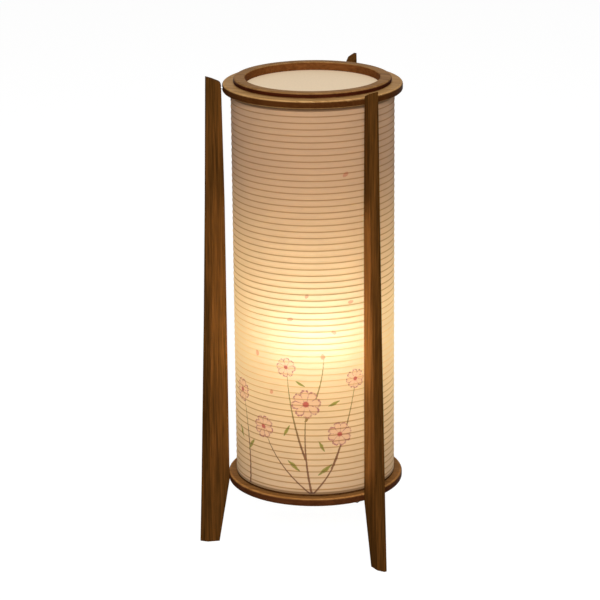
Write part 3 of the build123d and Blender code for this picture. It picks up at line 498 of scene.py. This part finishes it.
def lit_paper():
    """Mulberry paper with the light behind it: quite matt, cloudy with fibres, letting the bulb's light through, and
    with a painted glow round the bulb's height.
    """
    material, tree = new_material("mulberry_paper")
    mm = metres_to_mm(tree)
    along, height = flat_paper_place(tree, mm)
    glow = colour_round_bulb(tree, height, *PAINTED_GLOW)
    hoop_tint = colour_round_bulb(tree, height, *HOOP_TINT)

    # painted shadows: the hoops block the light in thin lines, and so do the rims at the two ends
    held = add(tree, "ShaderNodeMath", ("operation", "MINIMUM"), (0, height), (1, last_hoop * 1000 + CLEAR_OF_HOOP))
    above = add(tree, "ShaderNodeMath", ("operation", "SUBTRACT"), (0, held), (1, first_hoop * 1000))
    away = add(tree, "ShaderNodeMath", ("operation", "PINGPONG"), (0, above), (1, HOOP_PITCH * 1000 / 2))
    line = add(tree, "ShaderNodeMapRange", ("interpolation_type", "SMOOTHSTEP"), ("Value", away),
               ("From Min", HOOP_LINE[0]), ("From Max", HOOP_LINE[1]), ("To Min", 1.0), ("To Max", 0.0))
    rim = add(tree, "ShaderNodeMapRange", ("Value", height), ("From Min", paper_high.z * 1000 - UPPER_RIM_LINE[0]),
              ("From Max", paper_high.z * 1000 - UPPER_RIM_LINE[1]))
    foot = add(tree, "ShaderNodeMapRange", ("Value", height), ("From Min", paper_low.z * 1000 + LOWER_RIM_LINE[0]),
               ("From Max", paper_low.z * 1000 + LOWER_RIM_LINE[1]))
    ends = add(tree, "ShaderNodeMath", ("operation", "MAXIMUM"), (0, rim), (1, foot))

    # handmade paper is uneven: long soft fibres, and clouds where the pulp lies thicker, each by a few percent
    place = add(tree, "ShaderNodeCombineXYZ", ("X", along), ("Y", height))
    fibre_cell = add(tree, "ShaderNodeVectorMath", ("operation", "DIVIDE"), (0, place), (1, (9.0, 1.6, 1.0)))
    fibre = add(tree, "ShaderNodeTexNoise", ("Vector", fibre_cell), ("Scale", 1.0), ("Detail", 3.0),
                ("Distortion", 1.2))
    cloud_cell = add(tree, "ShaderNodeVectorMath", ("operation", "DIVIDE"), (0, place), (1, (34.0, 26.0, 1.0)))
    cloud = add(tree, "ShaderNodeTexNoise", ("Vector", cloud_cell), ("Scale", 1.0), ("Detail", 2.0))
    fibre_tone, cloud_tone = [
        add(tree, "ShaderNodeMapRange", ("Value", noise), ("From Min", 0.3), ("From Max", 0.7), ("To Min", least),
            ("To Max", most))
        for noise, least, most in ((fibre, 0.965, 1.02), (cloud, 0.97, 1.03))]
    tone = add(tree, "ShaderNodeMath", ("operation", "MULTIPLY"), (0, fibre_tone), (1, cloud_tone))

    painted = add(tree, "ShaderNodeVectorMath", ("operation", "SCALE"), (0, painting(tree, place, along, height)),
                  ("Scale", tone))
    hoop_shadows = add(tree, "ShaderNodeMix", ("data_type", "RGBA"), (0, line), (6, (1, 1, 1, 1)), (7, hoop_tint))
    rim_shadows = add(tree, "ShaderNodeMix", ("data_type", "RGBA"), (0, ends), (6, hoop_shadows), (7, srgb("#b8a890")))
    veil = add(tree, "ShaderNodeVectorMath", ("operation", "MULTIPLY"), (0, painted), (1, rim_shadows))
    base = add(tree, "ShaderNodeVectorMath", ("operation", "MULTIPLY"), (0, srgb("#c39a72")[:3]), (1, veil))
    # painted light: the emission is the paper's painted glow, brightest at the bulb's height
    painted_glow = add(tree, "ShaderNodeVectorMath", ("operation", "MULTIPLY"), (0, glow), (1, veil))
    finish = add(tree, "ShaderNodeBsdfPrincipled", ("Base Color", base), ("Roughness", 1.0), ("IOR", 2.4),
                 ("Transmission Weight", 0.4), ("Specular IOR Level", 0.05), ("Emission Color", painted_glow),
                 ("Emission Strength", 1.0))
    add(tree, "ShaderNodeOutputMaterial", ("Surface", finish))
    return material


paper = bpy.data.objects.new("paper", tube_mesh("paper", paper_surface()))
bpy.context.scene.collection.objects.link(paper)
paper.data.materials.append(lit_paper())
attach(paper, "stand")
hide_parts("shade_paper")


MOTTLE_WIDTH = 2.0             # mm
MOTTLE_DARK, MOTTLE_LIGHT = 0.88, 1.06


def plain_finish(name, colour, roughness, metallic=0.0, ior=1.5, through=0.0, glow="#ffffff", strength=0.0):
    """A finish with a fine mottle in its colour and gloss. Through is how much light it lets through."""
    material, tree = new_material(name)
    mm = metres_to_mm(tree)
    cell = add(tree, "ShaderNodeVectorMath", ("operation", "SCALE"), (0, mm), ("Scale", 1.0 / MOTTLE_WIDTH))
    mottle = add(tree, "ShaderNodeTexNoise", ("Vector", cell), ("Scale", 1.0), ("Detail", 3.0))
    shade = add(tree, "ShaderNodeMapRange", ("Value", mottle), ("To Min", MOTTLE_DARK), ("To Max", MOTTLE_LIGHT))
    tint = add(tree, "ShaderNodeVectorMath", ("operation", "SCALE"), (0, srgb(colour)[:3]), ("Scale", shade))
    dull = add(tree, "ShaderNodeMapRange", ("Value", mottle), ("To Min", roughness - 0.08),
               ("To Max", roughness + 0.08))
    finish = add(tree, "ShaderNodeBsdfPrincipled", ("Base Color", tint), ("Metallic", metallic), ("Roughness", dull),
                 ("IOR", ior), ("Transmission Weight", through), ("Emission Color", srgb(glow)),
                 ("Emission Strength", strength))
    add(tree, "ShaderNodeOutputMaterial", ("Surface", finish))
    return material


# split bamboo is pale, straight and dull, and the hoops are split so thin that the bulb shines through them
bamboo = plain_finish("split_bamboo", "#c9a774", 0.6)
for node in ("shade_rim_upper", "lid_disc_hoop"):
    dress(node, bamboo)
dress("shade_hoops", plain_finish("thin_split_bamboo", "#efe3b8", 0.9, ior=1.3, through=0.8))
# the lower rim is painted dark brown: painted shade in the gap under the paper's foot
dress("shade_rim_lower", stained_wood("painted_shade_lower_rim", "#38200c", "#4a2c12", "#5a3818", RING_STREAK, (0, 0, 0), 0.5))

# ---------------------------------------------------------------- lid
# The lid is a smaller turned ring that lies on the top ring. A disc of laminated paper is let into it from below and
# is kept up by a thin bamboo hoop with six brass brads. The disc is smooth and pale, and its faint glow is painted
# light, an emission standing for the bulb's light coming through.
# the lid ring's outer face carries painted shade, and its inner wall a lighter painted shade, where the disc lights it
dress("lid_ring", stained_wood("turned_walnut_lid", "#74512c", "#8b643a", "#a1774a", RING_STREAK,
                               (25.0, 60.0, 0.0), 0.40, edge="#72473f", inner_shade="#b89981", ior=1.04))
dress("lid_disc", plain_finish("laminated_paper_disc", "#edd5b4", 0.6, ior=1.2, glow="#f0c890", strength=0.05))

# ---------------------------------------------------------------- screws, brads and stem
# Steel wood screws hold the legs and the crossbar, and a threaded tube with its nuts and washers stands in the
# crossbar. Their zinc is bluish grey and half dull. Brads and contacts are bare brass, yellow and a little brighter.
zinc = plain_finish("zinc_plated_steel", "#b9bcc0", 0.38, metallic=1.0)
for node in ("leg_screws", "crossbar_screws", "stem_tube", "stem_washers", "stem_nuts", "holder_grub_screw"):
    dress(node, zinc)
brass = plain_finish("bare_brass", "#c9a35a", 0.35, metallic=1.0)
for node in ("lid_brads", "holder_screw_shell", "holder_centre_contact", "holder_terminal_screws"):
    dress(node, brass)

# ---------------------------------------------------------------- lampholder
# A cap and a shell of black phenolic, glossy from a polished mould, and of the same a bushing at the stem's lower end.
# The insert that carries the contacts is cast porcelain, white under a clear glaze.
phenolic = plain_finish("black_phenolic_moulding", "#1b1a19", 0.3)
for node in ("holder_cap", "holder_shell", "cord_bushing"):
    dress(node, phenolic)
dress("holder_insert", plain_finish("glazed_porcelain", "#eeece4", 0.15))

# ---------------------------------------------------------------- bulb
# An opal globe on a white moulded housing, with a plate of LEDs and their driver board in it, and a rolled cap of
# bright nickelled brass with a dull tinned contact in black glass. The globe lights the shade. Its glow is cool,
# because the paper warms the light that comes through.
dress("bulb_cap", plain_finish("nickel_plated_brass", "#c4c1b8", 0.25, metallic=1.0))
dress("bulb_eyelet", plain_finish("tinned_contact", "#b5b5b2", 0.45, metallic=1.0))
dress("bulb_insulator", plain_finish("black_glass_insulator", "#141417", 0.1))
dress("bulb_housing", plain_finish("white_moulded_housing", "#f2f1ec", 0.35))
dress("bulb_led_plate", plain_finish("stamped_aluminium", "#d2d3d5", 0.35, metallic=1.0))
dress("bulb_leds", plain_finish("yellow_phosphor", "#f0c840", 0.5, glow="#ffdc9a", strength=4.0))
dress("bulb_driver_board", plain_finish("green_circuit_board", "#1f5c34", 0.4))
dress("bulb_globe", plain_finish("opal_globe", "#f8f2e4", 0.4, glow="#d4fcff", strength=14.5))
